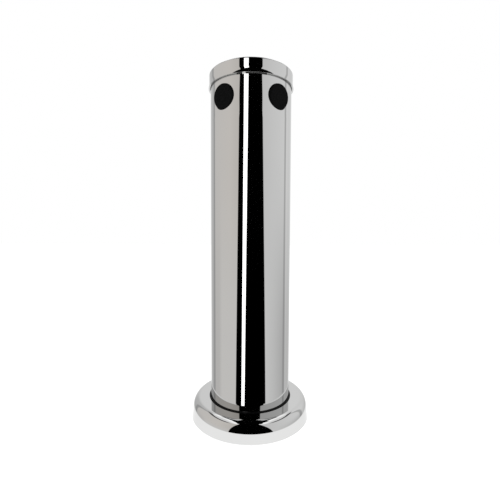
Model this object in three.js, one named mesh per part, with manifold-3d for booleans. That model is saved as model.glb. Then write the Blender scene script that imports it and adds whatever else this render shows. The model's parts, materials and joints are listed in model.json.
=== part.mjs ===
// A three-inch draft beer tower column with two plugged tap holes.
// Millimetres, +Z up. The origin is the centre of the column on the counter top,
// and -Y is the front, the side that the two tap holes look to.

import * as THREE from "three";
import { mergeVertices } from "three/addons/utils/BufferGeometryUtils.js";
import Module from "manifold-3d";

const wasm = await Module();
wasm.setup();

// ---------- driving dimensions ----------

const COLUMN_RADIUS = 38.1; // a three-inch tube
const COLUMN_WALL = 1.5;
const COLUMN_INNER = COLUMN_RADIUS - COLUMN_WALL;

const TAP_ANGLE = 39.3; // degrees either side of the front
const TAP_HEIGHT = 293.6;
const TAP_HOLE_RADIUS = 11.2; // passes a 7/8 inch tap shank

const GASKET_THICKNESS = 1.5;
const FOOT_THICKNESS = 4;
const FOOT_TOP = GASKET_THICKNESS + FOOT_THICKNESS;
const FOOT_RADIUS = 53;
const DUCT_RADIUS = 31; // the way for the beer lines through the gasket and the foot
const SPIGOT_RADIUS = COLUMN_INNER - 0.3;
const SPIGOT_TOP = 34;

const COUNTER_HOLE_CIRCLE = 92; // diameter of the circle of counter screw holes
const COUNTER_HOLE_RADIUS = 2.75;
const COUNTERSINK_RADIUS = 5.4;
const COUNTER_HOLES = [45, 135, 225, 315];

const FOOT_SCREW_HEIGHT = 10;
const FOOT_SCREWS = [0, 90, 180, 270];
const FOOT_SCREW_RADIUS = 2;
const FOOT_SCREW_HEAD = 3.8;

const COVER_RADIUS = 56.4;
const COVER_WALL_TOP = 7; // where the drafted rim meets the crown
const COVER_CROWN_RADIUS = 55.7;
const COVER_FLAT_RADIUS = 48.35; // where the crown meets the flat top
const COVER_TOP = 17.4;
const COVER_SHEET = 1.5;
const COVER_NECK = 39.4;

const SEAL_INNER = COLUMN_RADIUS + 0.25;
const SEAL_NECK = COLUMN_RADIUS + 0.95; // where the seal passes through the cover
const SEAL_LIP_RADIUS = 39.8;
const SEAL_TOP = 18.1;

const CAP_LIP = 309.5; // height of the cap's lower edge
const CAP_TOP = 323;
const CAP_RADIUS = 39.35;
const CAP_LIP_RADIUS = 40.1;
const CAP_SHEET = 1;
const CAP_SHOULDER = 1.5;
const COLUMN_TOP = CAP_TOP - CAP_SHEET - 1;

const INSERT_BOTTOM = 310.5;
const INSERT_TOP = CAP_TOP - CAP_SHEET - 0.3;
const INSERT_OUTER = COLUMN_INNER - 0.3;
const INSERT_INNER = 33;
const RING_HEIGHT = 315; // the cap's gripping ring
const RING_SECTION = 1.2;

const FOAM_OUTER = COLUMN_INNER - 1.5;
const FOAM_INNER = 24;
const FOAM_BOTTOM = SPIGOT_TOP + 2;
const FOAM_TOP = 304;
const FOAM_SPLIT = 0.4; // half the gap between the two halves
const BAND_HEIGHTS = [80, 165, 250];
const BAND_WIDTH = 8;
const BAND_INNER = FOAM_OUTER + 0.3;
const BAND_OUTER = COLUMN_INNER - 0.3;

const PLUG_FACE = COLUMN_RADIUS + 1.3; // distance of the plug's face from the column's axis
const PLUG_RADIUS = 10.7;
const PLUG_TIP = 6; // degrees that a plug hangs nose down in its hole
const PLUG_INNER_END = 30;
const PLUG_RING_AT = 34.4;

const SHELL_SIDES = 40;
const PLUG_SIDES = 28;
const SMALL_SIDES = 20;

// ---------- materials ----------

const finish = (color, roughness, metalness) => ({ color, roughness, metalness });
const CHROME = finish(0xc9c9c7, 0.05, 1);
const STEEL = finish(0x9b9c9d, 0.35, 1);
const RUBBER = finish(0x111112, 0.6, 0);
const NYLON = finish(0x151516, 0.55, 0);
const BLACK_PLASTIC = finish(0x1c1c1d, 0.5, 0);
const FOAM = finish(0x3a3b3d, 0.95, 0);

// ---------- solids ----------

const radians = THREE.MathUtils.degToRad;

// A closed outline of [radius, height] points, counter-clockwise, turned about Z.
function turned(outline, sides = SHELL_SIDES) {
  const points = [...outline, outline[0]].map(([r, z]) => new THREE.Vector2(r, z));
  return new THREE.LatheGeometry(points, sides).rotateX(Math.PI / 2);
}

// Points of a quarter or part ellipse, angles in degrees from the radial direction.
function arc(centre, radii, from, to, steps) {
  return Array.from({ length: steps + 1 }, (_, i) => {
    const angle = radians(from + ((to - from) * i) / steps);
    return [centre[0] + radii[0] * Math.cos(angle), centre[1] + radii[1] * Math.sin(angle)];
  });
}

// A shape turned about Z is laid on its side, so that its height runs out from the column's axis.
function radial(geometry, angle, height) {
  return geometry
    .rotateX(Math.PI / 2)
    .rotateZ(radians(angle))
    .translate(0, 0, height);
}

// A cylinder between two distances from the column's axis.
function radialRod(radius, inner, outer, angle, height, sides = SMALL_SIDES) {
  const rod = turned([[0, inner], [radius, inner], [radius, outer], [0, outer]], sides);
  return radial(rod, angle, height);
}

function solidOf(geometry) {
  const bare = geometry.clone();
  bare.deleteAttribute("normal");
  bare.deleteAttribute("uv");
  const merged = mergeVertices(bare, 1e-4);
  return new wasm.Manifold(
    new wasm.Mesh({
      numProp: 3,
      vertProperties: merged.attributes.position.array,
      triVerts: new Uint32Array(merged.index.array),
    }),
  );
}

function geometryOf(solid) {
  const mesh = solid.getMesh();
  const geometry = new THREE.BufferGeometry();
  geometry.setAttribute("position", new THREE.BufferAttribute(mesh.vertProperties, 3));
  geometry.setIndex(new THREE.BufferAttribute(mesh.triVerts, 1));
  geometry.computeVertexNormals();
  return geometry;
}

const cut = (geometry, tools) =>
  geometryOf(tools.reduce((solid, tool) => solid.subtract(solidOf(tool)), solidOf(geometry)));
const joined = (geometry, others) =>
  geometryOf(others.reduce((solid, other) => solid.add(solidOf(other)), solidOf(geometry)));

const tower = new THREE.Group();

function piece(name, geometry, look, parent = tower) {
  const mesh = new THREE.Mesh(geometry, new THREE.MeshStandardMaterial(look));
  mesh.name = name;
  parent.add(mesh);
  return mesh;
}

// ---------- foot, under the cover ----------

// Rubber ring between the foot and the counter, holed for the counter screws.
function counterGasket() {
  const ring = turned([
    [DUCT_RADIUS, 0],
    [FOOT_RADIUS + 1, 0],
    [FOOT_RADIUS + 1, GASKET_THICKNESS],
    [DUCT_RADIUS, GASKET_THICKNESS],
  ]);
  const holes = COUNTER_HOLES.map((angle) => counterHole(COUNTER_HOLE_RADIUS + 0.5, -1, FOOT_TOP, angle));
  piece("counter_gasket", cut(ring, holes), RUBBER);
}

function counterHole(radius, bottom, top, angle) {
  const hole = new THREE.CylinderGeometry(radius, radius, top - bottom, SMALL_SIDES);
  return placedHole(hole, (top + bottom) / 2, angle);
}

function placedHole(hole, height, angle) {
  const at = radians(angle);
  const reach = COUNTER_HOLE_CIRCLE / 2;
  return hole.rotateX(Math.PI / 2).translate(reach * Math.cos(at), reach * Math.sin(at), height);
}

// Ring plate that is screwed to the counter.
function footPlate() {
  const plate = turned([
    [DUCT_RADIUS, GASKET_THICKNESS],
    [FOOT_RADIUS, GASKET_THICKNESS],
    [FOOT_RADIUS, FOOT_TOP - 0.8],
    [FOOT_RADIUS - 0.8, FOOT_TOP],
    [DUCT_RADIUS, FOOT_TOP],
  ]);
  const cuts = COUNTER_HOLES.flatMap((angle) => [
    counterHole(COUNTER_HOLE_RADIUS, 0, FOOT_TOP + 1, angle),
    placedHole(
      new THREE.CylinderGeometry(COUNTERSINK_RADIUS, COUNTER_HOLE_RADIUS, 2.65, SMALL_SIDES),
      FOOT_TOP - 1.275,
      angle,
    ),
  ]);
  piece("foot_plate", cut(plate, cuts), STEEL);
}

// Short, thick tube on the plate, which the column stands over.
function footSpigot() {
  const spigot = turned([
    [DUCT_RADIUS, FOOT_TOP],
    [SPIGOT_RADIUS, FOOT_TOP],
    [SPIGOT_RADIUS, SPIGOT_TOP - 1.5],
    [SPIGOT_RADIUS - 1.5, SPIGOT_TOP],
    [DUCT_RADIUS, SPIGOT_TOP],
  ]);
  const threads = FOOT_SCREWS.map((angle) =>
    radialRod(FOOT_SCREW_RADIUS + 0.05, DUCT_RADIUS - 2, SPIGOT_RADIUS + 2, angle, FOOT_SCREW_HEIGHT),
  );
  piece("foot_spigot", cut(spigot, threads), STEEL);
}

// Button-head screw that holds the column to the spigot.
function footScrew(number, angle) {
  const headSeat = COLUMN_RADIUS + 0.1;
  const socket = { radius: 1.4, depth: 1.3 };
  const headTop = headSeat + 2.1;
  const screw = turned(
    [
      [0, DUCT_RADIUS + 0.5],
      [FOOT_SCREW_RADIUS - 0.05, DUCT_RADIUS + 0.5],
      [FOOT_SCREW_RADIUS - 0.05, headSeat],
      [FOOT_SCREW_HEAD, headSeat],
      ...arc([FOOT_SCREW_HEAD - 2.1, headSeat], [2.1, 2.1], 0, 90, 3).slice(1),
      [0, headTop],
    ],
    SMALL_SIDES,
  );
  const hex = new THREE.CylinderGeometry(socket.radius, socket.radius, socket.depth + 1, 6)
    .rotateX(Math.PI / 2)
    .translate(0, 0, headTop - socket.depth + (socket.depth + 1) / 2);
  const shape = radial(cut(screw, [hex]), angle, FOOT_SCREW_HEIGHT);
  piece(`foot_screw_${number}`, shape, STEEL);
}

// ---------- column ----------

const tapSides = [
  { side: "left", angle: -TAP_ANGLE },
  { side: "right", angle: TAP_ANGLE },
];

function columnTube() {
  const tube = turned([
    [COLUMN_INNER, FOOT_TOP + 0.3],
    [COLUMN_RADIUS, FOOT_TOP + 0.3],
    [COLUMN_RADIUS, COLUMN_TOP],
    [COLUMN_INNER, COLUMN_TOP],
  ]);
  const tapHoles = tapSides.map(({ angle }) =>
    radialRod(TAP_HOLE_RADIUS, COLUMN_INNER - 6, COLUMN_RADIUS + 4, angle, TAP_HEIGHT, SHELL_SIDES),
  );
  const screwHoles = FOOT_SCREWS.map((angle) =>
    radialRod(FOOT_SCREW_RADIUS + 0.25, COLUMN_INNER - 2, COLUMN_RADIUS + 2, angle, FOOT_SCREW_HEIGHT),
  );
  piece("column_tube", cut(tube, [...tapHoles, ...screwHoles]), CHROME);
}

// Domed, slip-over cover of pressed sheet that hides the foot.
function baseCover() {
  const inner = COVER_SHEET;
  const crownWidth = COVER_CROWN_RADIUS - COVER_FLAT_RADIUS;
  const crownHeight = COVER_TOP - COVER_WALL_TOP;
  const centre = [COVER_FLAT_RADIUS, COVER_WALL_TOP];
  const shell = turned([
    [COVER_RADIUS - inner, 0],
    [COVER_RADIUS, 0],
    ...arc(centre, [crownWidth, crownHeight], 0, 90, 6),
    [COVER_NECK, COVER_TOP],
    [COVER_NECK, COVER_TOP - inner],
    ...arc(centre, [crownWidth - inner, crownHeight - inner], 90, 0, 5),
  ]);
  piece("base_cover", shell, CHROME);
}

// Rubber ring that closes the gap between the cover and the column, with a thin lip on the cover.
function coverSeal() {
  const underside = COVER_TOP - COVER_SHEET - 0.3;
  const seal = turned([
    [SEAL_INNER, underside - 1.4],
    [SEAL_NECK + 3, underside - 1.4],
    [SEAL_NECK + 3, underside],
    [SEAL_NECK, underside],
    [SEAL_NECK, COVER_TOP + 0.2],
    [SEAL_LIP_RADIUS, COVER_TOP + 0.2],
    [SEAL_LIP_RADIUS, SEAL_TOP - 0.2],
    [SEAL_LIP_RADIUS - 0.3, SEAL_TOP],
    [SEAL_INNER, SEAL_TOP],
  ]);
  piece("cover_seal", seal, RUBBER);
}

// ---------- insulation ----------

// Half of the foam sleeve, notched at its top for the tap shank.
function insulationHalf(side, sign, angle) {
  const sleeve = turned([
    [FOAM_INNER, FOAM_BOTTOM],
    [FOAM_OUTER, FOAM_BOTTOM],
    [FOAM_OUTER, FOAM_TOP],
    [FOAM_INNER, FOAM_TOP],
  ]);
  const width = 2 * FOAM_OUTER;
  const height = FOAM_TOP - FOAM_BOTTOM;
  const otherHalf = new THREE.BoxGeometry(width, 2 * width, height + 10).translate(
    sign * (FOAM_SPLIT - width / 2),
    0,
    (FOAM_TOP + FOAM_BOTTOM) / 2,
  );
  const notch = radialRod(PLUG_RADIUS + 1.6, PLUG_INNER_END - 1.5, FOAM_OUTER + 4, angle, TAP_HEIGHT);
  piece(`insulation_${side}`, cut(sleeve, [otherHalf, notch]), FOAM);
}

// Band that ties the two halves of the sleeve together.
function insulationBand(number, height) {
  const band = turned([
    [BAND_INNER, height - BAND_WIDTH / 2],
    [BAND_OUTER, height - BAND_WIDTH / 2],
    [BAND_OUTER, height + BAND_WIDTH / 2],
    [BAND_INNER, height + BAND_WIDTH / 2],
  ]);
  piece(`insulation_band_${number}`, band, BLACK_PLASTIC);
}

// ---------- cap ----------

// Pressed cap: flat top, small shoulder, straight skirt and a lip that flares out at its edge.
function topCap() {
  const lipHeight = 0.4;
  const flareHeight = 5;
  const flareTurn = 2 * Math.atan2(CAP_LIP_RADIUS - CAP_RADIUS, flareHeight);
  const flareRadius = flareHeight / Math.sin(flareTurn);
  const flareCentre = [CAP_RADIUS + flareRadius, CAP_LIP + lipHeight + flareHeight];
  const skirtInner = CAP_RADIUS - CAP_SHEET;
  const shoulderInner = CAP_SHOULDER - CAP_SHEET;
  const shell = turned([
    [0, CAP_TOP - CAP_SHEET],
    ...arc([skirtInner - shoulderInner, CAP_TOP - CAP_SHOULDER], [shoulderInner, shoulderInner], 90, 0, 2),
    [skirtInner, CAP_LIP],
    [CAP_LIP_RADIUS, CAP_LIP],
    ...arc(flareCentre, [flareRadius, flareRadius], 180 + THREE.MathUtils.radToDeg(flareTurn), 180, 3),
    ...arc([CAP_RADIUS - CAP_SHOULDER, CAP_TOP - CAP_SHOULDER], [CAP_SHOULDER, CAP_SHOULDER], 0, 90, 3),
    [0, CAP_TOP],
  ]);
  return ["top_cap", shell, CHROME];
}

// Plastic ring, bonded under the cap, that plugs into the column.
function capInsert() {
  const grooveDepth = RING_SECTION + 0.15;
  const ring = turned([
    [INSERT_INNER, INSERT_BOTTOM],
    [INSERT_OUTER - 1, INSERT_BOTTOM],
    [INSERT_OUTER, INSERT_BOTTOM + 1.5],
    [INSERT_OUTER, RING_HEIGHT - 1],
    [INSERT_OUTER - grooveDepth, RING_HEIGHT - 1],
    [INSERT_OUTER - grooveDepth, RING_HEIGHT + 1],
    [INSERT_OUTER, RING_HEIGHT + 1],
    [INSERT_OUTER, INSERT_TOP],
    [INSERT_INNER, INSERT_TOP],
  ]);
  return ["cap_insert", ring, BLACK_PLASTIC];
}

function capRing() {
  const radius = RING_SECTION / 2;
  const centre = [COLUMN_INNER - 0.1 - radius, RING_HEIGHT];
  const section = arc(centre, [radius, radius], 0, 360, 8).slice(0, -1);
  return ["cap_ring", turned(section), RUBBER];
}

// Foam disc inside the insert, which closes the top of the insulation.
function capPad() {
  const disc = turned([
    [0, INSERT_BOTTOM + 1],
    [INSERT_INNER - 0.5, INSERT_BOTTOM + 1],
    [INSERT_INNER - 0.5, INSERT_TOP],
    [0, INSERT_TOP],
  ]);
  return ["cap_pad", disc, FOAM];
}

// ---------- tap hole plugs ----------

// A plug or its ring, made round the Z axis, is tipped about the middle of the hole and put in it.
function inTapHole(geometry, angle) {
  const tipped = geometry
    .translate(0, 0, -COLUMN_RADIUS)
    .rotateX(radians(PLUG_TIP))
    .translate(0, 0, COLUMN_RADIUS);
  return radial(tipped, angle, TAP_HEIGHT);
}

// Push-in plug: flat face, ribbed hollow body open at its inner end, and a groove for a ring.
function holePlug(side, angle) {
  const wall = 2;
  const shank = PLUG_RADIUS - 0.25;
  const groove = shank - 1;
  const edge = 1;
  const profile = turned(
    [
      [0, PLUG_FACE - wall],
      [shank - wall, PLUG_FACE - wall],
      [shank - wall, PLUG_INNER_END],
      [shank - 0.8, PLUG_INNER_END],
      [shank, PLUG_INNER_END + 1.5],
      [shank, PLUG_RING_AT - 0.7],
      [groove, PLUG_RING_AT - 0.7],
      [groove, PLUG_RING_AT + 0.7],
      [shank, PLUG_RING_AT + 0.7],
      [PLUG_RADIUS, PLUG_RING_AT + 1.3],
      ...arc([PLUG_RADIUS - edge, PLUG_FACE - edge], [edge, edge], 0, 90, 3),
      [0, PLUG_FACE],
    ],
    PLUG_SIDES,
  );
  const rib = new THREE.BoxGeometry(2 * (shank - wall) + 0.4, 1.2, PLUG_FACE - PLUG_INNER_END - 3).translate(
    0,
    0,
    (PLUG_FACE + PLUG_INNER_END + 1) / 2 - 0.5,
  );
  const crossRib = rib.clone().rotateZ(Math.PI / 2);
  const body = joined(profile, [rib, crossRib]);
  piece(`hole_plug_${side}`, inTapHole(body, angle), NYLON);
}

function plugRing(side, angle) {
  const radius = 0.5;
  const centre = [PLUG_RADIUS - 0.15 - radius, PLUG_RING_AT];
  const section = arc(centre, [radius, radius], 0, 360, 6).slice(0, -1);
  piece(`plug_ring_${side}`, inTapHole(turned(section, PLUG_SIDES), angle), RUBBER);
}

// ---------- assembly ----------

counterGasket();
footPlate();
footSpigot();
FOOT_SCREWS.forEach((angle, i) => footScrew(i + 1, angle));
columnTube();
baseCover();
coverSeal();
tapSides.forEach(({ side, angle }) => insulationHalf(side, side === "left" ? -1 : 1, angle));
BAND_HEIGHTS.forEach((height, i) => insulationBand(i + 1, height));

const cap = new THREE.Group();
tower.add(cap);
[topCap(), capInsert(), capRing(), capPad()].forEach(([name, geometry, look]) => piece(name, geometry, look, cap));

tapSides.forEach(({ side, angle }) => {
  holePlug(side, angle);
  plugRing(side, angle);
});

export default tower;
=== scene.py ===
"""A chromed beer tap tower with plugged tap holes, on a white counter in a white studio."""
import json
import math

import bmesh
import bpy
from mathutils import Matrix, Vector


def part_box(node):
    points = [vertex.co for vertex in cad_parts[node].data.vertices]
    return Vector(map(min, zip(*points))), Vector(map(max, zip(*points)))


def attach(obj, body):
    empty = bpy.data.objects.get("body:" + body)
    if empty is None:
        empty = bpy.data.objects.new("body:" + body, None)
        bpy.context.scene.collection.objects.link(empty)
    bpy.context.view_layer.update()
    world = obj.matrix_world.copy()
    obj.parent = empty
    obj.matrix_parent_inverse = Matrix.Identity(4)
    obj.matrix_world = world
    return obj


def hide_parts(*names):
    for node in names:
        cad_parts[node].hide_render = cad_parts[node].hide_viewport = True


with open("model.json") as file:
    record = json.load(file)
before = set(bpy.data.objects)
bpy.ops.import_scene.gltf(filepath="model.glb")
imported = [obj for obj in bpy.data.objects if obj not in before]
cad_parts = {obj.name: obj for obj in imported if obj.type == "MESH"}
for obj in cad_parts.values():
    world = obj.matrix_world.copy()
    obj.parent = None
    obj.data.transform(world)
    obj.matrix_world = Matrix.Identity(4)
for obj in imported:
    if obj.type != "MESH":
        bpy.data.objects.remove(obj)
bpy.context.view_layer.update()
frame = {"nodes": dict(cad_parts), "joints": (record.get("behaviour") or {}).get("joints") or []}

MM = 0.001
SIDES = 288  # facets round a visible shell
RING_SIDES = 144  # facets round a small ring
FRONT = -90.0  # degrees from +X to the tower's front


# ---------- places and sizes from the frame ----------

class Span:
    """Inner and outer radius about the column's axis, bottom and top of a CAD node, or of its upper part."""

    def __init__(self, node, above=-1.0):
        spots = [v.co for v in frame["nodes"][node].data.vertices if v.co.z > above]
        reach = [math.hypot(p.x, p.y) for p in spots]
        self.inner, self.outer = min(reach), max(reach)
        self.bottom, self.top = min(p.z for p in spots), max(p.z for p in spots)


COLUMN = Span("column_tube")
CAP = Span("top_cap")
COVER = Span("base_cover")
SEAL = Span("cover_seal")
SEAL_LIP = Span("cover_seal", COVER.top)
PLATE = Span("foot_plate")
SPIGOT = Span("foot_spigot")
GASKET = Span("counter_gasket")
INSERT = Span("cap_insert")
CAP_RING = Span("cap_ring")
PAD = Span("cap_pad")
FOAM = Span("insulation_left")
BANDS = [Span(f"insulation_band_{n}") for n in (1, 2, 3)]

AXES = {joint["name"]: Vector(joint["axis"]).normalized() for joint in frame["joints"]}
SCREW_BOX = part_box("foot_screw_1")
SCREW_HEIGHT = (SCREW_BOX[0].z + SCREW_BOX[1].z) / 2
SCREW_HEAD = (SCREW_BOX[1].z - SCREW_BOX[0].z) / 2
SCREW_ANGLES = (0, 90, 180, 270)  # from the front


def along(node, axis, start=Vector()):
    """The nearest and furthest reach of a CAD node along an axis that starts at a point."""
    reach = [(v.co - start).dot(axis) for v in frame["nodes"][node].data.vertices]
    return min(reach), max(reach)


def girth(node, axis, start):
    """The largest distance of a CAD node from an axis through a point."""
    return max((v.co - start).cross(axis).length for v in frame["nodes"][node].data.vertices)


def azimuth(axis):
    """Degrees from the front, positive towards +X."""
    return math.degrees(math.atan2(axis.x, -axis.y))


def outward(angle):
    """The level direction at an azimuth in degrees."""
    turn = math.radians(angle)
    return Vector((math.sin(turn), -math.cos(turn), 0))


class Tap:
    """A tap hole: its level axis through the wall, and its plug, which hangs nose down in it."""

    def __init__(self, side):
        self.side = side
        self.plug_axis = AXES[f"plug_{side}_pull"]
        self.axis = Vector((self.plug_axis.x, self.plug_axis.y, 0)).normalized()
        low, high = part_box(f"plug_ring_{side}")
        middle = (low + high) / 2
        inward = (COLUMN.outer - middle.dot(self.axis)) / self.plug_axis.dot(self.axis)
        self.centre = middle + self.plug_axis * inward
        self.height = self.centre.z


TAPS = [Tap(side) for side in ("left", "right")]
TAP_HEIGHT = TAPS[0].height
PLUG_RADIUS = girth("hole_plug_left", TAPS[0].plug_axis, TAPS[0].centre)
TAP_HOLE = PLUG_RADIUS + 0.15 * MM
TAP_EDGE = 0.3 * MM  # width and depth of the hole's drawn-in edge
PLUG_SINK = 0.3 * MM  # how much less proud the drawn face is than the CAD's
HOLD = 0.15 * MM  # beside a rounded edge, keeps the shading of a flat or straight stretch true


# ---------- outlines ----------

def arc(centre, radii, start, end, steps):
    """Points of part of an ellipse in the radius and height plane, angles in degrees."""
    points = []
    for i in range(steps + 1):
        turn = math.radians(start + (end - start) * i / steps)
        points.append((centre[0] + radii[0] * math.cos(turn), centre[1] + radii[1] * math.sin(turn)))
    return points


def rounded(corners, steps=5):
    """A closed outline through (radius, height, rounding) corners, each corner replaced by an arc."""
    outline = []
    count = len(corners)
    for i, (r, z, rounding) in enumerate(corners):
        here = Vector((r, z))
        before = (Vector(corners[i - 1][:2]) - here).normalized()
        after = (Vector(corners[(i + 1) % count][:2]) - here).normalized()
        half = before.angle(after) / 2
        if rounding <= 0 or half > math.radians(89):
            outline.append((r, z))
            continue
        back = rounding / math.tan(half)
        centre = here + (before + after).normalized() * (rounding / math.sin(half))
        start, end = here + before * back - centre, here + after * back - centre
        sweep = start.angle_signed(end)
        for k in range(steps + 1):
            turn = Matrix.Rotation(-sweep * k / steps, 2)
            outline.append(tuple(centre + turn @ start))
    return outline


# ---------- meshes ----------

def new_object(name, mesh):
    made = bpy.data.objects.new(name, mesh)
    bpy.context.scene.collection.objects.link(made)
    return made


def smooth(mesh, sharp_degrees=35):
    """Smooth shading, with edges sharper than the angle left crisp, and no points that are on no face."""
    body = bmesh.new()
    body.from_mesh(mesh)
    loose = [point for point in body.verts if not point.link_faces]
    bmesh.ops.delete(body, geom=loose, context="VERTS")
    bmesh.ops.remove_doubles(body, verts=body.verts, dist=1e-7)
    bmesh.ops.recalc_face_normals(body, faces=body.faces)
    for face in body.faces:
        face.smooth = True
    for edge in body.edges:
        if len(edge.link_faces) == 2:
            edge.smooth = edge.calc_face_angle(0) < math.radians(sharp_degrees)
    body.to_mesh(mesh)
    body.free()
    return mesh


def turned(name, outline, sides=SIDES, sharp_degrees=35):
    """A closed outline of (radius, height) points turned about the column's axis."""
    verts, faces, rings = [], [], []
    for r, z in outline:
        if r < 1e-7:
            rings.append([len(verts)] * sides)
            verts.append((0, 0, z))
            continue
        rings.append(list(range(len(verts), len(verts) + sides)))
        for i in range(sides):
            turn = 2 * math.pi * i / sides
            verts.append((r * math.cos(turn), r * math.sin(turn), z))
    for k, low in enumerate(rings):
        high = rings[(k + 1) % len(rings)]
        if low[0] == low[1] and high[0] == high[1]:
            continue
        for i in range(sides):
            j = (i + 1) % sides
            corners = [low[i], low[j], high[j], high[i]]
            faces.append(list(dict.fromkeys(corners)))
    mesh = bpy.data.meshes.new(name)
    mesh.from_pydata(verts, [], faces)
    return new_object(name, smooth(mesh, sharp_degrees))


def turned_radially(name, outline, axis, height, sides):
    """An outline turned about a level axis, its heights measured out from the column's axis."""
    made = turned(name, outline, sides)
    made.data.transform(Matrix.Translation((0, 0, height)) @ facing(axis))
    return made


def facing(axis):
    """The turn that takes +Z to an axis and keeps +X level."""
    across = Vector((0, 0, 1)).cross(axis).normalized()
    return Matrix((across, axis.cross(across), axis)).transposed().to_4x4()


def prism(name, corners, low, high):
    """An upright prism from a list of (x, y) corners."""
    count = len(corners)
    verts = [(x, y, low) for x, y in corners] + [(x, y, high) for x, y in corners]
    faces = [list(range(count))[::-1], list(range(count, 2 * count))]
    faces += [[i, (i + 1) % count, count + (i + 1) % count, count + i] for i in range(count)]
    mesh = bpy.data.meshes.new(name)
    mesh.from_pydata(verts, [], faces)
    return new_object(name, mesh)


def combined(target, tools, operation="DIFFERENCE"):
    """Cuts the tools from the target, or joins them to it, and removes them."""
    for tool in tools:
        change = target.modifiers.new("combine", "BOOLEAN")
        change.operation = operation
        change.solver = "EXACT"
        change.object = tool
    graph = bpy.context.evaluated_depsgraph_get()
    mesh = bpy.data.meshes.new_from_object(target.evaluated_get(graph))
    target.modifiers.clear()
    target.data = smooth(mesh)
    for tool in tools:
        bpy.data.objects.remove(tool)
    return target


def polygon(radius, sides):
    step = 2 * math.pi / sides
    return [(radius * math.cos(i * step), radius * math.sin(i * step)) for i in range(sides)]


def shifted(points, x, y):
    return [(px + x, py + y) for px, py in points]


# ---------- materials ----------

class Recipe:
    """A Principled material under construction, with short calls for the nodes used here."""

    def __init__(self, name, color, roughness, metallic=0.0):
        self.material = bpy.data.materials.new(name)
        self.material.use_nodes = True
        self.tree = self.material.node_tree
        self.shader = self.tree.nodes["Principled BSDF"]
        self.set("Base Color", (*color, 1))
        self.set("Roughness", roughness)
        self.set("Metallic", metallic)

    def set(self, socket, value):
        self.shader.inputs[socket].default_value = value

    def node(self, kind, **values):
        made = self.tree.nodes.new(kind)
        for key, value in values.items():
            setattr(made, key, value)
        return made

    def link(self, source, target):
        self.tree.links.new(source, target)

    def place(self, scale=(1, 1, 1)):
        """Object coordinates, stretched along each axis."""
        mapping = self.node("ShaderNodeMapping")
        mapping.inputs["Scale"].default_value = scale
        self.link(self.node("ShaderNodeTexCoord").outputs["Object"], mapping.inputs["Vector"])
        return mapping.outputs["Vector"]

    def noise(self, scale, detail=3.0, stretch=(1, 1, 1)):
        made = self.node("ShaderNodeTexNoise")
        made.inputs["Scale"].default_value = scale
        made.inputs["Detail"].default_value = detail
        self.link(self.place(stretch), made.inputs["Vector"])
        return made.outputs["Fac"]

    def cells(self, scale):
        made = self.node("ShaderNodeTexVoronoi")
        made.inputs["Scale"].default_value = scale
        self.link(self.place(), made.inputs["Vector"])
        return made.outputs["Distance"]

    def ranged(self, source, low, high, start=0.3, end=0.7):
        """Spreads a value between start and end over low to high."""
        made = self.node("ShaderNodeMapRange")
        for socket, value in (("From Min", start), ("From Max", end), ("To Min", low), ("To Max", high)):
            made.inputs[socket].default_value = value
        self.link(source, made.inputs["Value"])
        return made.outputs["Result"]

    def roughen(self, source, low, high):
        self.link(self.ranged(source, low, high), self.shader.inputs["Roughness"])

    def tint(self, source, dark, light, start=0.3, end=0.7):
        """Mixes the base colour from dark to light by a value."""
        ramp = self.node("ShaderNodeMix", data_type="RGBA")
        colours = [s for s in ramp.inputs if s.type == "RGBA"]
        colours[0].default_value, colours[1].default_value = (*dark, 1), (*light, 1)
        self.link(self.ranged(source, 0, 1, start, end), ramp.inputs["Factor"])
        output = next(s for s in ramp.outputs if s.type == "RGBA")
        self.link(output, self.shader.inputs["Base Color"])

    def bump(self, source, depth, strength=1.0):
        """Adds relief of a depth in metres on top of what is there."""
        made = self.node("ShaderNodeBump")
        made.inputs["Strength"].default_value = strength
        made.inputs["Distance"].default_value = depth
        self.link(source, made.inputs["Height"])
        if self.shader.inputs["Normal"].links:
            self.link(self.shader.inputs["Normal"].links[0].from_socket, made.inputs["Normal"])
        self.link(made.outputs["Normal"], self.shader.inputs["Normal"])


def chrome(name, color):
    """Bright chrome: faint polishing haze and the slightest waviness."""
    recipe = Recipe(name, color, 0.03, metallic=1.0)
    recipe.set("Specular Tint", (0.85, 0.85, 0.85, 1))
    recipe.roughen(recipe.noise(40, 4, (1, 1, 0.25)), 0.012, 0.035)
    recipe.tint(recipe.noise(18, 3), [c * 0.985 for c in color], color)
    recipe.bump(recipe.noise(9, 1, (1, 1, 0.3)), 0.00002, 0.5)
    return recipe.material


def rubber(name, color, roughness):
    """Moulded rubber with a fine bloom."""
    recipe = Recipe(name, color, roughness)
    recipe.set("Specular IOR Level", 0.04)
    recipe.roughen(recipe.noise(900, 4), roughness - 0.08, roughness + 0.1)
    recipe.tint(recipe.noise(300, 3), [c * 0.7 for c in color], [c * 1.3 for c in color])
    recipe.bump(recipe.noise(2500, 2), 0.00002, 0.6)
    return recipe.material


def spark_nylon(name):
    """Matt black nylon with a spark-eroded grain."""
    recipe = Recipe(name, (0.0035, 0.0035, 0.0037), 0.6)
    recipe.set("Specular IOR Level", 0.03)
    recipe.roughen(recipe.noise(1200, 4), 0.5, 0.75)
    recipe.tint(recipe.noise(700, 4), (0.002, 0.002, 0.0021), (0.0045, 0.0045, 0.0047))
    recipe.bump(recipe.cells(2600), 0.00003, 0.5)
    return recipe.material


def moulded_plastic(name, color, roughness):
    """Black plastic as it leaves the mould, with faint flow marks."""
    recipe = Recipe(name, color, roughness)
    recipe.roughen(recipe.noise(150, 3, (1, 1, 3)), roughness - 0.08, roughness + 0.1)
    recipe.tint(recipe.noise(90, 3), [c * 0.8 for c in color], [c * 1.2 for c in color])
    recipe.bump(recipe.noise(1500, 3), 0.00002, 0.4)
    return recipe.material


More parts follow.
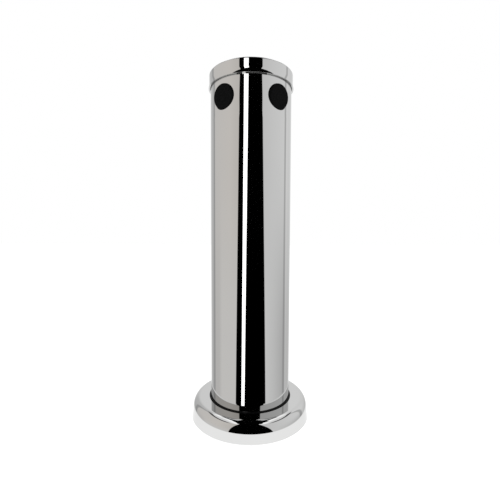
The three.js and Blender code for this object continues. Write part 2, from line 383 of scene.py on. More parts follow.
def zinc_steel(name):
    """Zinc-plated steel: a grainy skin, a little blotchy."""
    recipe = Recipe(name, (0.4, 0.4, 0.41), 0.4, metallic=1.0)
    recipe.roughen(recipe.noise(120, 5), 0.32, 0.6)
    recipe.tint(recipe.noise(60, 5), (0.28, 0.28, 0.285), (0.5, 0.5, 0.51))
    recipe.bump(recipe.noise(1400, 4), 0.00008, 0.6)
    return recipe.material


def screw_steel(name):
    """Plain stainless steel with turning marks."""
    recipe = Recipe(name, (0.5, 0.5, 0.51), 0.28, metallic=1.0)
    recipe.roughen(recipe.noise(700, 4), 0.2, 0.4)
    recipe.tint(recipe.noise(200, 3), (0.42, 0.42, 0.43), (0.56, 0.56, 0.57))
    recipe.bump(recipe.noise(1800, 2, (1, 1, 6)), 0.00001, 0.5)
    return recipe.material


def cell_foam(name):
    """Dark closed-cell foam, cut and not skinned, with painted shade in the hollows of its cells."""
    recipe = Recipe(name, (0.05, 0.05, 0.055), 0.95)
    recipe.set("Specular IOR Level", 0.15)
    recipe.roughen(recipe.noise(400, 3), 0.85, 1.0)
    # painted shade: the cells' hollows, which the bump below sinks, are tinted darker
    recipe.tint(recipe.cells(900), (0.025, 0.025, 0.028), (0.075, 0.075, 0.08), 0.1, 0.6)
    recipe.bump(recipe.cells(900), 0.0004, 0.8)
    return recipe.material


def counter_white(name):
    """The white counter: pale, nearly shadowless, with a whisper of unevenness."""
    recipe = Recipe(name, (0.6, 0.6, 0.6), 0.9)
    recipe.set("Specular IOR Level", 0.0)
    recipe.set("Emission Color", (1, 1, 1, 1))
    recipe.set("Emission Strength", 0.62)
    recipe.tint(recipe.noise(6, 2), (0.59, 0.59, 0.59), (0.61, 0.61, 0.61))
    return recipe.material


def painted_floor_glow(name):
    """A glowing sheet that only polished surfaces see: painted light standing in for the lit counter's
    reflection, its glow strongest near the tower, with a little unevenness in its near-black base colour.
    """
    recipe = Recipe(name, (0.0, 0.0, 0.0), 1.0)
    recipe.set("Specular IOR Level", 0.0)
    recipe.set("Emission Color", (1, 1, 1, 1))
    gradient = recipe.node("ShaderNodeTexGradient", gradient_type="SPHERICAL")
    reach = 1 / FLOOR_GLOW_RADIUS
    recipe.link(recipe.place((reach, reach, 0)), gradient.inputs["Vector"])
    # painted light: the sheet's glow, which chrome shows as the counter's reflection, strongest near the
    # tower
    strength = recipe.ranged(gradient.outputs["Fac"], 0.85, 1.4, 0.0, 0.1)
    recipe.link(strength, recipe.shader.inputs["Emission Strength"])
    recipe.tint(recipe.noise(12, 2), (0.0, 0.0, 0.0), (0.01, 0.01, 0.01))
    return recipe.material


def flat_black(name):
    """Black card with no shine."""
    recipe = Recipe(name, (0.0, 0.0, 0.0), 1.0)
    recipe.set("Specular IOR Level", 0.0)
    recipe.tint(recipe.noise(12, 2), (0.0, 0.0, 0.0), (0.001, 0.001, 0.001))
    return recipe.material


CHROME_COLOR = (0.555, 0.556, 0.553)
MATERIALS = {
    "column_chrome": chrome("column_chrome", CHROME_COLOR),
    "cap_chrome": chrome("cap_chrome", CHROME_COLOR),
    "cover_chrome": chrome("cover_chrome", CHROME_COLOR),
    "black_rubber": rubber("black_rubber", (0.0025, 0.0025, 0.0028), 0.32),
    "gasket_rubber": rubber("gasket_rubber", (0.02, 0.02, 0.02), 0.6),
    "plug_nylon": spark_nylon("plug_nylon"),
    "insert_plastic": moulded_plastic("insert_plastic", (0.025, 0.025, 0.027), 0.42),
    "band_plastic": moulded_plastic("band_plastic", (0.015, 0.015, 0.017), 0.25),
    "foot_steel": zinc_steel("foot_steel"),
    "screw_steel": screw_steel("screw_steel"),
    "foam": cell_foam("foam"),
}


def fitted(piece, body, slot, *nodes):
    """Gives a piece its material, and lets it ride on its body in place of its CAD nodes."""
    piece.data.materials.clear()
    piece.data.materials.append(MATERIALS[slot])
    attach(piece, body)
    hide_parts(*nodes)
    return piece


# ---------- column ----------

class Window:
    """A hole in the tube wall and the rectangle of the tube's grid that is remade round it."""

    def __init__(self, angle, height, radius, edge, depth, half_angle, half_height, steps):
        self.angle, self.height, self.radius = angle, height, radius
        self.edge, self.depth = edge, depth  # width and depth of the drawn-in edge
        self.half_angle, self.half_height, self.steps = half_angle, half_height, steps


def grid_lines(low, high, windows, step):
    """Values from low to high that meet each (start, end, steps) window, and are even between."""
    lines = [low]
    for start, end, steps in sorted(windows):
        for target, count in ((start, max(1, round((start - lines[-1]) / step))), (end, steps)):
            first = lines[-1]
            if target - first > 1e-9:
                lines += [first + (target - first) * (i + 1) / count for i in range(count)]
    count = max(1, round((high - lines[-1]) / step))
    first = lines[-1]
    if high - first > 1e-9:
        lines += [first + (high - first) * (i + 1) / count for i in range(count)]
    return lines


def unique(spans):
    return sorted(set(spans))


class TubeWall:
    """A tube with round holes through its wall, the outer edge of each hole drawn gently inwards."""

    def __init__(self, inner, outer, bottom, top, windows):
        self.inner, self.outer, self.windows = inner, outer, windows
        start = min(w.angle - w.half_angle for w in windows)
        self.angles = grid_lines(
            start,
            start + 360,
            unique((w.angle - w.half_angle, w.angle + w.half_angle, w.steps) for w in windows),
            1.5,
        )[:-1]
        self.heights = grid_lines(
            bottom,
            top,
            unique((w.height - w.half_height, w.height + w.half_height, w.steps) for w in windows),
            4 * MM,
        )
        self.verts, self.faces = [], []
        self.skins = {radius: self.skin(radius) for radius in (outer, inner)}
        self.close_ends()
        for window in windows:
            self.open_window(window)

    def add(self, point):
        self.verts.append(tuple(point))
        return len(self.verts) - 1

    def column_index(self, angle):
        return min(range(len(self.angles)), key=lambda i: abs(self.angles[i] - angle))

    def row_index(self, height):
        return min(range(len(self.heights)), key=lambda i: abs(self.heights[i] - height))

    def patch(self, window):
        """First column, last column, first row and last row of a window."""
        first = self.column_index(window.angle - window.half_angle)
        low = self.row_index(window.height - window.half_height)
        return first, first + window.steps, low, low + window.steps

    def skin(self, radius):
        """A grid of points round the tube at one radius, with faces everywhere but in the windows."""
        grid = []
        for z in self.heights:
            row = []
            for angle in self.angles:
                turn = math.radians(angle)
                row.append(self.add((radius * math.sin(turn), -radius * math.cos(turn), z)))
            grid.append(row)
        inside = set()
        for window in self.windows:
            first, last, low, high = self.patch(window)
            inside |= {(row, col) for row in range(low, high) for col in range(first, last)}
        count = len(self.angles)
        for row in range(len(self.heights) - 1):
            for col in range(count):
                if (row, col) in inside:
                    continue
                side = (col + 1) % count
                self.faces.append([grid[row][col], grid[row][side], grid[row + 1][side], grid[row + 1][col]])
        return grid

    def close_ends(self):
        count = len(self.angles)
        for row in (0, -1):
            outer, inner = self.skins[self.outer][row], self.skins[self.inner][row]
            for col in range(count):
                side = (col + 1) % count
                self.faces.append([outer[col], outer[side], inner[side], inner[col]])

    def ring(self, window, skin_radius, reach, sink=0.0):
        """Round the hole, at a distance from its axis, sunk below the skin."""
        axis = outward(window.angle)
        across = Vector((0, 0, 1)).cross(axis)
        points = []
        for u, w in self.perimeter(window, skin_radius):
            turn = math.atan2(w, u)
            scale = reach(math.hypot(u, w)) if callable(reach) else reach
            side, rise = scale * math.cos(turn), scale * math.sin(turn)
            out = math.sqrt(skin_radius**2 - side**2)
            normal = (axis * out + across * side) / skin_radius
            spot = axis * out + across * side - normal * sink
            points.append(self.add((spot.x, spot.y, window.height + rise)))
        return points

    def perimeter_indices(self, window):
        first, last, low, high = self.patch(window)
        count = len(self.angles)
        edge = [(low, col) for col in range(first, last)] + [(row, last) for row in range(low, high)]
        edge += [(high, col) for col in range(last, first, -1)]
        edge += [(row, first) for row in range(high, low, -1)]
        return [(row, col % count) for row, col in edge]

    def perimeter(self, window, radius):
        """The window's edge as (across, up) offsets from the hole's axis."""
        for row, col in self.perimeter_indices(window):
            turn = math.radians(self.angles[col] - window.angle)
            yield radius * math.sin(turn), self.heights[row] - window.height

    def join(self, first, second):
        count = len(first)
        for i in range(count):
            j = (i + 1) % count
            self.faces.append([first[i], first[j], second[j], second[i]])

    def open_window(self, window):
        """Rings that run from the window's square edge to the round hole, on both skins, then the bore."""
        rims = []
        for radius, edge in ((self.outer, window.edge), (self.inner, 0.0)):
            grid = self.skins[radius]
            last = [grid[row][col] for row, col in self.perimeter_indices(window)]
            start = window.radius + edge
            for share in (0.25, 0.5, 0.72, 0.88, 1.0):
                following = self.ring(window, radius, lambda far, s=share: far + (start - far) * s)
                self.join(last, following)
                last = following
            for step in range(1, 13) if edge else ():
                turn = math.radians(90 * step / 12)
                reach = start - edge * math.sin(turn)
                following = self.ring(window, radius, reach, window.depth * (1 - math.cos(turn)))
                self.join(last, following)
                last = following
            rims.append(last)
        self.join(*rims)

    def made(self, name):
        mesh = bpy.data.meshes.new(name)
        mesh.from_pydata(self.verts, [], self.faces)
        return new_object(name, smooth(mesh, 40))


def column():
    around_tap = {"half_angle": 25, "half_height": 16 * MM, "steps": 36}
    around_screw = {"half_angle": 6, "half_height": SCREW_HEIGHT - COLUMN.bottom - 0.4 * MM, "steps": 8}
    taps = [
        Window(azimuth(tap.axis), TAP_HEIGHT, TAP_HOLE, TAP_EDGE, TAP_EDGE, **around_tap) for tap in TAPS
    ]
    hole, edge = 2.25 * MM, 0.25 * MM
    screws = [Window(angle, SCREW_HEIGHT, hole, edge, edge, **around_screw) for angle in SCREW_ANGLES]
    wall = TubeWall(COLUMN.inner, COLUMN.outer, COLUMN.bottom, COLUMN.top, taps + screws)
    fitted(wall.made("column_wall"), "column", "column_chrome", "column_tube")


# ---------- cap ----------

CAP_SHEET = 1.0 * MM
CAP_SKIRT = CAP.outer - 0.75 * MM
CAP_LIP = CAP.outer - 0.25 * MM
CAP_EDGE = CAP.bottom + 0.5 * MM
CAP_FLARE = 5.0 * MM  # height over which the skirt flares out to the lip
CAP_SHOULDER = 1.2 * MM


def cap_shell():
    """Pressed cap: shallow crown, small shoulder, straight skirt and a lip that flares out at its edge."""
    lip = 0.14 * MM
    inner = CAP_SKIRT - CAP_SHEET
    tuck = CAP_SHOULDER - CAP_SHEET
    crown = 0.25 * MM
    edge = CAP_SKIRT - CAP_SHOULDER
    bend = 2 * math.degrees(math.atan2(CAP_LIP - CAP_SKIRT, CAP_FLARE))
    radius = CAP_FLARE / math.sin(math.radians(bend))
    outline = [(0, CAP.top - CAP_SHEET)]
    outline += arc((edge, CAP.top - crown - CAP_SHOULDER), (tuck, tuck), 90, 0, 4)
    outline += [(inner, CAP_EDGE + HOLD), (inner + HOLD, CAP_EDGE), (CAP_LIP - lip - HOLD, CAP_EDGE)]
    outline += arc((CAP_LIP - lip, CAP_EDGE + lip), (lip, lip), -90, bend, 12)
    outline += arc((CAP_SKIRT + radius, CAP_EDGE + lip + CAP_FLARE), (radius, radius), 179 + bend, 180, 16)
    outline += [(CAP_SKIRT, CAP.top - crown - CAP_SHOULDER - HOLD)]
    outline += arc((edge, CAP.top - crown - CAP_SHOULDER), (CAP_SHOULDER, CAP_SHOULDER), 0, 90, 12)
    outline += [(edge - HOLD, CAP.top - crown)]
    outline += [(edge * share, CAP.top - crown * share**2) for share in (0.93, 0.85, 0.7, 0.5, 0.25, 0)]
    fitted(turned("cap_shell", outline), "cap", "cap_chrome", "top_cap")


def cap_insert():
    """Friction ring under the cap: a groove for the gripping ring and eight finger slots."""
    groove = 1.35 * MM
    middle = (CAP_RING.bottom + CAP_RING.top) / 2
    outline = rounded(
        [
            (INSERT.inner, INSERT.bottom, 0.3 * MM),
            (INSERT.outer - 1.0 * MM, INSERT.bottom, 0.3 * MM),
            (INSERT.outer, INSERT.bottom + 1.5 * MM, 0.4 * MM),
            (INSERT.outer, middle - 1.0 * MM, 0.1 * MM),
            (INSERT.outer - groove, middle - 1.0 * MM, 0.15 * MM),
            (INSERT.outer - groove, middle + 1.0 * MM, 0.15 * MM),
            (INSERT.outer, middle + 1.0 * MM, 0.1 * MM),
            (INSERT.outer, INSERT.top, 0.2 * MM),
            (INSERT.inner, INSERT.top, 0.2 * MM),
        ],
        3,
    )
    ring = turned("cap_insert_ring", outline, RING_SIDES)
    reach, half = INSERT.outer + 2 * MM, 0.8 * MM
    slots = []
    for i in range(4):
        corners = [(-reach, -half), (reach, -half), (reach, half), (-reach, half)]
        slot_box = prism("slot", corners, INSERT.bottom - MM, INSERT.bottom + 2.6 * MM)
        slot_box.data.transform(Matrix.Rotation(math.radians(22.5 + 45 * i), 4, "Z"))
        slots.append(slot_box)
    combined(ring, slots)
    fitted(ring, "cap", "insert_plastic", "cap_insert")


def cap_grip_ring():
    radius = (CAP_RING.outer - CAP_RING.inner) / 2
    centre = (CAP_RING.outer - radius, (CAP_RING.bottom + CAP_RING.top) / 2)
    outline = arc(centre, (radius, radius), 0, 360, 16)[:-1]
    fitted(turned("cap_grip_ring", outline, RING_SIDES, 80), "cap", "black_rubber", "cap_ring")


def cap_foam():
    outline = rounded(
        [
            (0, PAD.bottom + 0.5 * MM, 0),
            (PAD.outer * 0.55, PAD.bottom + 0.35 * MM, 0),
            (PAD.outer, PAD.bottom, 1.2 * MM),
            (PAD.outer, PAD.top, 0.4 * MM),
            (0, PAD.top, 0),
        ]
    )
    fitted(turned("cap_foam_pad", outline, RING_SIDES), "cap", "foam", "cap_pad")


# ---------- base cover ----------

COVER_SHEET = 1.5 * MM
COVER_DRAFT = 0.7 * MM  # how much narrower the rim is at the crown
COVER_RIM = 7.0 * MM  # height where the upright rim ends and the crown begins
COVER_FOOT = COVER.outer + 0.5 * MM
COVER_FLAT = 48.35 * MM  # radius of the flat top
COVER_NECK = COVER.inner


def cover_shell():
    """Slip-over cover: drafted rim, elliptical crown, flat top and a neck turned down to the seal."""
    crown = COVER.outer - COVER_DRAFT - COVER_FLAT
    rise = COVER.top - COVER_RIM
    centre = (COVER_FLAT, COVER_RIM)
    turn_down = 0.5 * MM
    outline = [(COVER.outer - COVER_SHEET, 0.25 * MM), (COVER.outer - COVER_SHEET + 0.3 * MM, 0)]
    outline += arc((COVER_FOOT - 0.35 * MM, 0.35 * MM), (0.35 * MM, 0.35 * MM), -90, 0, 5)
    outline += arc(centre, (crown, rise), 0, 90, 48)
    outline += [(COVER_FLAT - HOLD, COVER.top), (COVER_NECK + turn_down + HOLD, COVER.top)]
    outline += arc((COVER_NECK + turn_down, COVER.top - turn_down), (turn_down, turn_down), 90, 180, 6)
    outline += [(COVER_NECK, COVER.top - COVER_SHEET)]
    outline += arc(centre, (crown - COVER_SHEET, rise - COVER_SHEET), 90, 0, 24)
    fitted(turned("cover_shell", outline), "cover", "cover_chrome", "base_cover")


def neck_seal():
    """The seal's thin lip lies on the cover and leans on the column, and its foot is under the cover."""
    neck = COVER_NECK - 0.35 * MM
    under = COVER.top - COVER_SHEET - 0.3 * MM
    rest = COVER.top + 0.05 * MM
    lip, top = SEAL_LIP.outer - 0.2 * MM, SEAL.top - 0.3 * MM
    outline = rounded(
        [
            (SEAL.inner, SEAL.bottom, 0.2 * MM),
            (SEAL.outer, SEAL.bottom, 0.5 * MM),
            (SEAL.outer, under, 0.3 * MM),
            (neck, under, 0.15 * MM),
            (neck, rest, 0.1 * MM),
            (lip, rest, 0.05 * MM),
            (lip, top, 0.2 * MM),
            (COLUMN.outer + 0.05 * MM, top, 0),
        ],
        6,
    )
    fitted(turned("neck_seal", outline, SIDES, 60), "cover", "black_rubber", "cover_seal")


# ---------- plugs ----------

def plug(tap):
    """Push-in plug: flat grained face with a soft edge, hollow ribbed body, ring groove, lead-in."""
    inner_end, face = along(f"hole_plug_{tap.side}", tap.plug_axis, tap.centre)
    face -= PLUG_SINK
    ring_low, ring_high = along(f"plug_ring_{tap.side}", tap.plug_axis, tap.centre)
    ring_at = (ring_low + ring_high) / 2
    place = Matrix.Translation(tap.centre) @ facing(tap.plug_axis)
    shank = PLUG_RADIUS - 0.25 * MM
    wall = 2.0 * MM
    edge = 1.0 * MM
    groove = 0.7 * MM
    outline = [(0, face - wall)]
    outline += rounded(
        [
            (shank - wall, face - wall, 0.3 * MM),
            (shank - wall, inner_end, 0.2 * MM),
            (shank - 0.8 * MM, inner_end, 0.2 * MM),
            (shank, inner_end + 1.5 * MM, 0.3 * MM),
            (shank, ring_at - groove, 0.08 * MM),
            (shank - 1.0 * MM, ring_at - groove, 0.1 * MM),
            (shank - 1.0 * MM, ring_at + groove, 0.1 * MM),
            (shank, ring_at + groove, 0.08 * MM),
            (PLUG_RADIUS, ring_at + groove + 0.6 * MM, 0.1 * MM),
            (PLUG_RADIUS, face, edge),
            (PLUG_RADIUS - 2 * edge, face, 0),
        ],
        8,
    )
    outline += [(PLUG_RADIUS * 0.4, face - 0.05 * MM), (0, face - 0.06 * MM)]
    body = turned(f"plug_body_{tap.side}", outline)
    ribs = []
    half, reach = 0.6 * MM, shank - wall + 0.2 * MM
    for across, up in ((reach, half), (half, reach)):
        corners = [(-across, -up), (across, -up), (across, up), (-across, up)]
        ribs.append(prism("rib", corners, inner_end + 2 * MM, face - wall / 2))
    combined(body, ribs, "UNION")
    body.data.transform(place)
    fitted(body, f"plug_{tap.side}", "plug_nylon", f"hole_plug_{tap.side}")

    radius = (ring_high - ring_low) / 2
    section = arc((PLUG_RADIUS - 0.15 * MM - radius, ring_at), (radius, radius), 0, 360, 14)[:-1]
    ring = turned(f"plug_grip_ring_{tap.side}", section, RING_SIDES, 80)
    ring.data.transform(place)
    fitted(ring, f"plug_{tap.side}", "black_rubber", f"plug_ring_{tap.side}")


# ---------- foot ----------

COUNTER_HOLE_REACH = 46 * MM
COUNTER_HOLE_ANGLES = (45, 135, 225, 315)


def counter_holes(radius, low, high):
    for angle in COUNTER_HOLE_ANGLES:
        turn = math.radians(angle)
        x, y = COUNTER_HOLE_REACH * math.cos(turn), COUNTER_HOLE_REACH * math.sin(turn)
        yield prism("hole", shifted(polygon(radius, 48), x, y), low, high)


def countersinks(small, large, low, high):
    """Cones that open upwards, reaching a little above the face they cut."""
    for angle in COUNTER_HOLE_ANGLES:
        turn = math.radians(angle)
        cone = turned("cone", [(0, low), (small, low), (large, high), (0, high)], 48)
        spot = (COUNTER_HOLE_REACH * math.cos(turn), COUNTER_HOLE_REACH * math.sin(turn), 0)
        cone.data.transform(Matrix.Translation(spot))
        yield cone


def foot_plate():
    outline = rounded(
        [
            (PLATE.inner, PLATE.bottom, 0.2 * MM),
            (PLATE.outer, PLATE.bottom, 0.3 * MM),
            (PLATE.outer, PLATE.top, 0.9 * MM),
            (PLATE.inner, PLATE.top, 0.3 * MM),
        ],
        5,
    )
    plate = turned("foot_ring_plate", outline, RING_SIDES)
    cuts = list(counter_holes(2.75 * MM, 0, PLATE.top + MM))
    cuts += list(countersinks(2.75 * MM, 5.8 * MM, PLATE.top - 2.6 * MM, PLATE.top + 0.4 * MM))
    combined(plate, cuts)
    fitted(plate, "column", "foot_steel", "foot_plate")


def foot_spigot():
    """Spigot with a lead-in at its top and four threaded holes."""
    outline = rounded(
        [
            (SPIGOT.inner, SPIGOT.bottom, 0.2 * MM),
            (SPIGOT.outer, SPIGOT.bottom, 0.1 * MM),
            (SPIGOT.outer, SPIGOT.top, 1.6 * MM),
            (SPIGOT.inner, SPIGOT.top, 0.5 * MM),
        ],
        6,
    )
    spigot = turned("foot_spigot_tube", outline, RING_SIDES)
    threads = []
    for angle in SCREW_ANGLES:
        start, end = SPIGOT.inner - 2 * MM, SPIGOT.outer + 2 * MM
        rod = [(0, start), (2.05 * MM, start), (2.05 * MM, end), (0, end)]
        threads.append(turned_radially("thread", rod, outward(angle), SCREW_HEIGHT, 32))
    combined(spigot, threads)
    fitted(spigot, "column", "foot_steel", "foot_spigot")


def gasket():
    outline = rounded(
        [
            (GASKET.inner, GASKET.bottom, 0.25 * MM),
            (GASKET.outer, GASKET.bottom, 0.25 * MM),
            (GASKET.outer, GASKET.top, 0.25 * MM),
            (GASKET.inner, GASKET.top, 0.25 * MM),
        ],
        3,
    )
    ring = turned("gasket_ring", outline, RING_SIDES)
    combined(ring, list(counter_holes(3.25 * MM, -MM, GASKET.top + MM)))
    fitted(ring, "column", "gasket_rubber", "counter_gasket")


def foot_screw(number, angle):
    """Button-head screw with a hexagon socket."""
    axis = outward(angle)
    tip, top = along(f"foot_screw_{number}", axis)
    seat = COLUMN.outer + 0.1 * MM
    shank = 1.95 * MM
    outline = [(0, tip), (shank - 0.5 * MM, tip), (shank, tip + 0.5 * MM), (shank, seat)]
    outline += rounded(
        [(shank, seat, 0), (SCREW_HEAD, seat, 0.15 * MM), (SCREW_HEAD, seat + 0.4 * MM, 0.2 * MM)], 3
    )[1:-1]
    dome = arc((0, seat + 0.3 * MM), (SCREW_HEAD, top - seat - 0.3 * MM), 8, 90, 12)
    outline += dome[:-1] + [(0, top)]
    screw = turned_radially(f"foot_screw_body_{number}", outline, axis, SCREW_HEIGHT, 64)
    socket = prism("socket", polygon(1.4 * MM, 6), top - 1.3 * MM, top + MM)
    socket.data.transform(Matrix.Translation((0, 0, SCREW_HEIGHT)) @ facing(axis))
    combined(screw, [socket])
    fitted(screw, "column", "screw_steel", f"foot_screw_{number}")


# ---------- insulation ----------

def insulation(tap, sign):
    """Half of the foam sleeve, its edges eased and its top notched round the plug."""
    outline = rounded(
        [
            (FOAM.inner, FOAM.bottom, 0.8 * MM),
            (FOAM.outer, FOAM.bottom, 0.8 * MM),
            (FOAM.outer, FOAM.top, 0.8 * MM),
            (FOAM.inner, FOAM.top, 0.8 * MM),
        ],
        4,
    )
    half = turned(f"foam_half_{tap.side}", outline, RING_SIDES)
    wide = 2 * FOAM.outer
    gap = 0.4 * MM
    near, far = sorted((sign * gap, -sign * wide))
    corners = [(near, -wide), (far, -wide), (far, wide), (near, wide)]
    other = prism("other", corners, FOAM.bottom - MM, FOAM.top + MM)
    inner_end = along(f"hole_plug_{tap.side}", tap.axis)[0] - 0.5 * MM
    outer_end = FOAM.outer + 4 * MM
    notch_radius = PLUG_RADIUS + 1.6 * MM
    rod = [(0, inner_end), (notch_radius, inner_end), (notch_radius, outer_end), (0, outer_end)]
    notch = turned_radially("notch", rod, tap.axis, TAP_HEIGHT, 96)
    combined(half, [other, notch])
    fitted(half, "column", "foam", f"insulation_{tap.side}")


def band(number, span):
    outline = rounded(
        [
            (span.inner, span.bottom, 0.1 * MM),
            (span.outer, span.bottom, 0.25 * MM),
            (span.outer, span.top, 0.25 * MM),
            (span.inner, span.top, 0.1 * MM),
        ],
        3,
    )
    piece = turned(f"sleeve_band_{number}", outline, RING_SIDES)
    fitted(piece, "column", "band_plastic", f"insulation_band_{number}")


# ---------- studio ----------

class Sky:
    """Node arithmetic for the studio's surroundings."""

    def __init__(self, tree):
        self.tree = tree

    def socket(self, value, target):
        if isinstance(value, (int, float)):
            target.default_value = value
        else:
            self.tree.links.new(value, target)

    def math(self, operation, first, second=0.0):
        made = self.tree.nodes.new("ShaderNodeMath")
        made.operation = operation
        self.socket(first, made.inputs[0])
        self.socket(second, made.inputs[1])
        return made.outputs[0]

    def step(self, value, start, end):
        """Goes smoothly from 0 to 1 as value goes from start to end."""
        made = self.tree.nodes.new("ShaderNodeMapRange")
        made.interpolation_type = "SMOOTHSTEP"
        for name, source in (("Value", value), ("From Min", start), ("From Max", end)):
            self.socket(source, made.inputs[name])
        return made.outputs["Result"]

    def round_about(self, turn, stops):
        """Colours by azimuth, -180 to 180 degrees."""
        ramp = self.tree.nodes.new("ShaderNodeValToRGB")
        self.socket(self.math("ADD", self.math("DIVIDE", turn, 360.0), 0.5), ramp.inputs["Fac"])
        elements = ramp.color_ramp.elements
        while len(elements) < len(stops):
            elements.new(0.5)
        for element, (place, colour) in zip(elements, stops):
            element.position = place / 360 + 0.5
            element.color = (*colour, 1)
        return ramp.outputs["Color"]

    def mix(self, share, first, second):
        made = self.tree.nodes.new("ShaderNodeMix")
        made.data_type = "RGBA"
        self.socket(share, made.inputs["Factor"])
        colours = [s for s in made.inputs if s.type == "RGBA"]
        for target, value in zip(colours, (first, second)):
            if isinstance(value, tuple):
                target.default_value = (*value, 1)
            else:
                self.tree.links.new(value, target)
        return next(s for s in made.outputs if s.type == "RGBA")


def grey(level, warmth=0.0):
    return (level * (1 + warmth), level, level * (1 - warmth))


# What stands round the tower, by azimuth from the front: high up, and near the table.
UPPER_WALLS = [
    (-180, grey(1.10)),
    (-158, grey(0.98)),
    (-146, grey(0.80)),
    (-131, grey(0.77)),
    (-128, grey(0.52)),
    (-123, grey(0.52)),
    (-120, grey(0.86, 0.03)),
    (-60, grey(0.87, 0.05)),
    (-33, grey(0.79, 0.05)),
    (33, grey(0.90)),
    (62, grey(0.96)),
    (107, grey(1.03)),
    (110, grey(0.66)),
    (115, grey(0.66)),
    (118, grey(1.08)),
    (140, grey(1.02)),
    (160, grey(1.06)),
    (180, grey(1.10)),
]
LOWER_WALLS = [
    (-180, grey(1.25)),
    (-158, grey(1.05)),
    (-146, grey(0.78)),
    (-131, grey(0.66)),
    (-128, grey(0.50)),
    (-122, grey(0.50)),
    (-119, grey(0.77, 0.02)),
    (-100, grey(0.78, 0.02)),
    (-88, grey(0.90, 0.02)),
    (-38, grey(0.90, 0.02)),
    (45, grey(0.95)),
    (70, grey(0.86)),
    (106, grey(0.69)),
    (109, grey(0.50)),
    (116, grey(0.50)),
    (120, grey(0.86)),
    (140, grey(0.80)),
    (160, grey(0.95)),
    (180, grey(1.25)),
]
OVERHEAD_MIDDLE = grey(1.7)
OVERHEAD_SIDES = grey(1.08)
GAP = grey(0.06)
BELOW = grey(0.04)
NEAR_FLOOR = grey(0.75)
BLACK = grey(0.0)


def reflected_studio(sky, x, y, z):
    """What polished surfaces see: pale walls and ceiling, a black flag in front, a dark table."""
    turn = sky.math("DEGREES", sky.math("ARCTAN2", x, sky.math("MULTIPLY", y, -1)))
    rise = sky.math("DEGREES", sky.math("ARCSINE", z))
    upper, lower = sky.round_about(turn, UPPER_WALLS), sky.round_about(turn, LOWER_WALLS)
    walls = sky.mix(sky.step(rise, 14, -22), upper, lower)
    # the open ceiling, and the dark gap between it and the walls on both sides
    across = sky.math("ABSOLUTE", x)
    overhead = sky.mix(sky.step(across, 0.3, 0.52), OVERHEAD_MIDDLE, OVERHEAD_SIDES)
    walls = sky.mix(sky.step(rise, 47, 52), walls, overhead)
    sideways = sky.step(across, 0.45, 0.6)
    gap = sky.math("MULTIPLY", sky.step(rise, 43, 45.5), sky.step(rise, 52, 49.5))
    walls = sky.mix(sky.math("MULTIPLY", gap, sideways), walls, GAP)
    # a narrow black strip overhead, from front to back
    overhead_black = sky.math("MULTIPLY", sky.step(across, 0.315, 0.295), sky.step(rise, 53, 55))
    walls = sky.mix(overhead_black, walls, BLACK)
    # the black flag, which stands in front and narrows upwards
    left_edge = sky.math("SUBTRACT", sky.math("MULTIPLY", rise, 0.18), 36.1)
    right_edge = sky.math("SUBTRACT", 37.5, sky.math("MULTIPLY", rise, 0.28))
    front = sky.step(sky.math("SUBTRACT", turn, left_edge), -0.6, 0.6)
    front = sky.math("MULTIPLY", front, sky.step(sky.math("SUBTRACT", right_edge, turn), -0.6, 0.6))
    front = sky.math("MULTIPLY", front, sky.step(rise, 60, 58))
    walls = sky.mix(front, walls, BLACK)
    # the table: dark further off, pale close to the tower
    table = sky.mix(sky.step(rise, -35, -44), BELOW, NEAR_FLOOR)
    return sky.mix(sky.step(rise, -28, -33), walls, table)


def studio_light():
    """White to the camera, even white light on matt surfaces, and the studio in reflections."""
    world = bpy.data.worlds.new("studio")
    bpy.context.scene.world = world
    world.use_nodes = True
    tree = world.node_tree
    tree.nodes.clear()
    sky = Sky(tree)
    direction = tree.nodes.new("ShaderNodeTexCoord").outputs["Generated"]
    parts = tree.nodes.new("ShaderNodeSeparateXYZ")
    tree.links.new(direction, parts.inputs[0])
    studio = reflected_studio(sky, *parts.outputs)
    path = tree.nodes.new("ShaderNodeLightPath")
    shown = sky.mix(path.outputs["Is Glossy Ray"], (1.0, 1.0, 1.0), studio)
    background = tree.nodes.new("ShaderNodeBackground")
    tree.links.new(shown, background.inputs["Color"])
    output = tree.nodes.new("ShaderNodeOutputWorld")
    tree.links.new(background.outputs[0], output.inputs["Surface"])


# The glowing sheet under the tower: painted light that chrome shows as the counter's reflection.
FLOOR_GLOW_RADIUS = 84 * MM
FLOOR_GLOW_FRONT = 79 * MM  # its radius near the front, within the angle given below
FLOOR_GLOW_FRONT_ANGLE = 30
# The black card above the cap, in front of the tower's axis.
CARD_HEIGHT = CAP.top + 157 * MM
CARD_LEFT, CARD_RIGHT, CARD_FRONT = -174 * MM, 201 * MM, -310 * MM
CARD_BACK_LEFT, CARD_BACK_RIGHT = -85 * MM, -69 * MM


def card_corners():
    """A slanting back edge, and a front that is half an ellipse, wider on the right."""
    corners = [(CARD_RIGHT, CARD_BACK_RIGHT)]
    for angle in range(0, 181, 15):
        turn = math.radians(angle)
        across = -math.cos(turn)
        side = CARD_RIGHT if across > 0 else -CARD_LEFT
        depth = CARD_BACK_LEFT + (CARD_FRONT - CARD_BACK_LEFT) * math.sin(turn)
        corners.append((side * across, depth))
    return corners


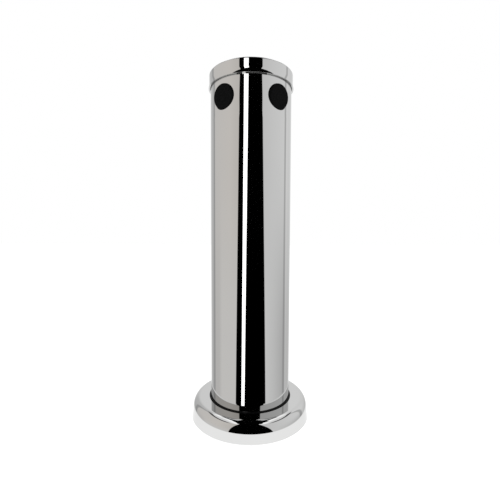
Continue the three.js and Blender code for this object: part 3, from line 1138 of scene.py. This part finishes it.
def counter():
    """A wide pale counter, with a glowing sheet, painted light standing in for the counter's reflection, and
    a black card, both of which only polished surfaces see.
    """
    wide = 4.0
    floor = prism("counter", [(-wide, -wide), (wide, -wide), (wide, wide), (-wide, wide)], -0.02, -0.00015)
    floor.data.materials.append(counter_white("counter_white"))
    floor.visible_glossy = False
    edge = []
    for angle in range(360):
        turn = math.radians(angle + FRONT)
        reach = FLOOR_GLOW_FRONT if min(angle, 360 - angle) < FLOOR_GLOW_FRONT_ANGLE else FLOOR_GLOW_RADIUS
        edge.append((reach * math.cos(turn), reach * math.sin(turn)))
    # a glowing sheet seen only in reflections: painted light in place of the counter's reflection
    floor_glow = prism("floor_glow", edge, -0.00014, -0.0001)
    floor_glow.data.materials.append(painted_floor_glow("painted_floor_glow"))
    card = prism("black_card", card_corners(), CARD_HEIGHT, CARD_HEIGHT + 2 * MM)
    card.data.materials.append(flat_black("flat_black"))
    for shown_in_chrome in (floor_glow, card):
        shown_in_chrome.visible_camera = False
        shown_in_chrome.visible_diffuse = False
        shown_in_chrome.visible_shadow = False


STRIP_DISTANCE = 12.0
STRIP_ANGLE = -17.0  # from the front, towards -X
STRIP_HEIGHT = -1.2  # of the point it leans about
STRIP_WIDTH = 2.05
STRIP_BELOW = 6.8  # reach below that point
STRIP_ABOVE = {"column": 6.6, "cap": 8.9}  # reach above it, as each sees it
STRIP_LEAN = 6.6  # degrees that its top leans towards +X
STRIP_NOD = 16.0  # degrees that its top comes forward
STRIP_BRIGHTNESS = 2.6


def strip_light(seen_in, receivers):
    """A tall narrow light beside the camera, its top leaning, as the column or the cap sees it."""
    lamp = bpy.data.lights.new(f"strip_{seen_in}", "AREA")
    lamp.shape = "RECTANGLE"
    above = STRIP_ABOVE[seen_in]
    lamp.size, lamp.size_y = STRIP_WIDTH, STRIP_BELOW + above
    lamp.energy = STRIP_BRIGHTNESS * math.pi * lamp.size * lamp.size_y
    light = new_object(f"strip_{seen_in}", lamp)
    out = outward(STRIP_ANGLE)
    lean = Matrix.Rotation(math.radians(-STRIP_LEAN), 4, "Z")
    nod = Matrix.Rotation(math.radians(-STRIP_NOD), 4, "X")
    light.rotation_mode = "QUATERNION"
    tilted = facing(out) @ nod @ lean
    light.rotation_quaternion = tilted.to_quaternion()
    middle = tilted @ Vector((0, (above - STRIP_BELOW) / 2, 0))
    light.location = out * STRIP_DISTANCE + Vector((0, 0, STRIP_HEIGHT)) + middle
    light.visible_camera = False
    group = bpy.data.collections.new(f"seen_in_{seen_in}")
    for piece in receivers:
        group.objects.link(piece)
    light.light_linking.receiver_collection = group


# The camera's place and aim, worked out from the outlines of the column, cap and base.
CAMERA_PLACE = Vector((-0.44, -330.0, 177.6)) * MM
CAMERA_DOWN = 0.0551  # radians
CAMERA_ROLL = 0.0037
CAMERA_LENS = 24.48


def camera():
    data = bpy.data.cameras.new("camera")
    data.lens = CAMERA_LENS
    data.sensor_width = 36
    data.clip_start, data.clip_end = 0.01, 50
    view = new_object("camera", data)
    aim = Matrix.Rotation(math.pi / 2 - CAMERA_DOWN, 4, "X") @ Matrix.Rotation(CAMERA_ROLL, 4, "Z")
    view.matrix_world = Matrix.Translation(CAMERA_PLACE) @ aim
    bpy.context.scene.camera = view


# ---------- the scene ----------

camera()
counter()
studio_light()
column()
cap_shell()
cap_insert()
cap_grip_ring()
cap_foam()
cover_shell()
neck_seal()
for tap_hole in TAPS:
    plug(tap_hole)
foot_plate()
foot_spigot()
gasket()
for screw_number, screw_angle in enumerate(SCREW_ANGLES, 1):
    foot_screw(screw_number, screw_angle)
insulation(TAPS[0], -1)
insulation(TAPS[1], 1)
for band_number, band_span in enumerate(BANDS, 1):
    band(band_number, band_span)
strip_light("column", [bpy.data.objects["column_wall"], bpy.data.objects["neck_seal"]])
strip_light("cap", [bpy.data.objects["cap_shell"]])

bpy.context.scene.view_settings.view_transform = "Standard"
